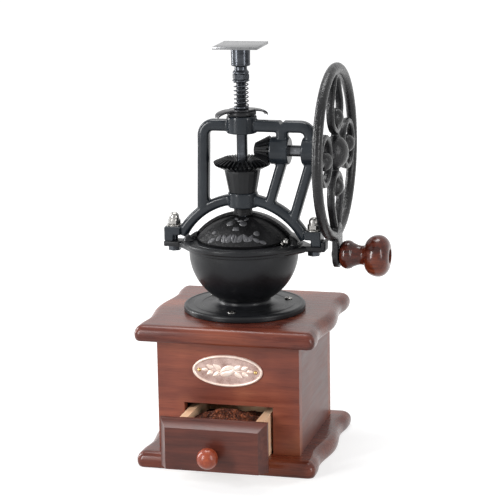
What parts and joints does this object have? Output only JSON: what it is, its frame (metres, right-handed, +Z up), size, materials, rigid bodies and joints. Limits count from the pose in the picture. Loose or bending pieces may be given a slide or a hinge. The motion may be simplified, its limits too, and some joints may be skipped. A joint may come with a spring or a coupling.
{
  "type": "hand crank coffee grinder",
  "caption": "Hand crank coffee grinder: wooden cabinet with a drawer, iron hopper with a turning lid door, frame with bevel gears, handwheel with a wooden grip and a sprung grind adjuster.",
  "frame": {"origin": "centre of the base board's underside, on the vertical shaft's axis", "axes": "+Z up along the vertical shaft, +X towards the handwheel, -Y towards the drawer's front"},
  "size_m": [0.2133, 0.2196, 0.3626],
  "materials": {
    "stained_wood": "stained and lacquered, satin",
    "pale_wood": "bare, sanded",
    "plywood": "bare thin board",
    "knob_wood": "stained and lacquered",
    "grip_wood": "dark stain, glossy lacquer",
    "copper": "pressed sheet with a copper finish",
    "brass": "small nail heads",
    "black_cast_iron": "satin black paint over a casting",
    "frame_cast_iron": "dark blue-grey paint over a casting",
    "wheel_cast_iron": "rough dark grey casting",
    "gear_iron": "black, oiled",
    "steel": "turned steel",
    "dark_steel": "blackened turned steel",
    "chrome": "bright plated"
  },
  "bodies": {
    "cabinet": {"base_board": "stained_wood", "top_board": "stained_wood", "cabinet_front_panel": "stained_wood", "cabinet_back_panel": "stained_wood", "cabinet_left_panel": "stained_wood", "cabinet_right_panel": "stained_wood", "drawer_guide_left": "pale_wood", "drawer_guide_right": "pale_wood", "plaque": "copper", "plaque_pin_left": "brass", "plaque_pin_right": "brass", "hopper_bowl": "black_cast_iron", "flange_screw_1": "steel", "flange_screw_2": "steel", "flange_screw_3": "steel", "ring_burr": "steel", "lid_rear_shell": "black_cast_iron", "main_frame": "frame_cast_iron", "frame_bolt_left": "steel", "frame_bolt_right": "steel", "frame_washer_left": "chrome", "frame_washer_right": "chrome", "acorn_nut_left": "chrome", "acorn_nut_right": "chrome"},
    "drawer": {"drawer_front": "stained_wood", "drawer_left_side": "pale_wood", "drawer_right_side": "pale_wood", "drawer_back": "pale_wood", "drawer_bottom": "plywood", "drawer_knob": "knob_wood", "drawer_knob_screw": "steel"},
    "lid_door": {"hopper_door": "black_cast_iron", "door_knob": "chrome"},
    "wheel": {"handwheel": "wheel_cast_iron", "wheel_shaft": "dark_steel", "bevel_pinion": "gear_iron", "pinion_pin": "steel", "crank_spindle": "steel"},
    "grip": {"crank_grip": "grip_wood"},
    "drive_gear": {"driven_bevel_gear": "gear_iron"},
    "grind_lift": {"spring_seat": "dark_steel", "adjuster_spring": "steel"},
    "star_adjuster": {"adjuster_wings": "dark_steel", "adjuster_bush": "gear_iron"},
    "shaft": {"main_shaft": "dark_steel", "cone_burr": "steel", "burr_nut": "steel", "spring_cap": "dark_steel", "hex_lock_nut": "dark_steel", "top_nut": "dark_steel", "top_socket": "dark_steel", "top_plate": "dark_steel"}
  },
  "joints": [
    {"name": "handwheel_turn", "type": "hinge", "parent": "cabinet", "child": "wheel", "pos_m": [0.083, 0, 0.2705], "axis": [1, 0, 0], "continuous": true},
    {"name": "grip_spin", "type": "hinge", "parent": "wheel", "child": "grip", "pos_m": [0.1, 0, 0.1803], "axis": [1, 0, 0], "continuous": true},
    {"name": "gear_turn", "type": "hinge", "parent": "cabinet", "child": "drive_gear", "pos_m": [0, 0, 0.25], "axis": [0, 0, 1], "continuous": true},
    {"name": "grind_lift_slide", "type": "slide", "parent": "cabinet", "child": "grind_lift", "axis": [0, 0, 1], "range_m": [-0.0005, 0.001]},
    {"name": "star_turn", "type": "hinge", "parent": "grind_lift", "child": "star_adjuster", "pos_m": [0, 0, 0.303], "axis": [0, 0, 1], "range_deg": [-180, 360]},
    {"name": "shaft_turn", "type": "hinge", "parent": "grind_lift", "child": "shaft", "pos_m": [0, 0, 0.25], "axis": [0, 0, 1], "continuous": true},
    {"name": "lid_door_swing", "type": "hinge", "parent": "cabinet", "child": "lid_door", "pos_m": [0, 0, 0.21], "axis": [0, 0, 1], "range_deg": [-135, 0]},
    {"name": "drawer_slide", "type": "slide", "parent": "cabinet", "child": "drawer", "axis": [0, -1, 0], "range_m": [-0.0442, 0.035]}
  ],
  "couplings": [
    {"joint": "gear_turn", "follows": "handwheel_turn", "ratio": 0.47222},
    {"joint": "shaft_turn", "follows": "handwheel_turn", "ratio": 0.47222},
    {"joint": "star_turn", "follows": "grind_lift_slide", "rad_per_m": 6283.2}
  ]
}
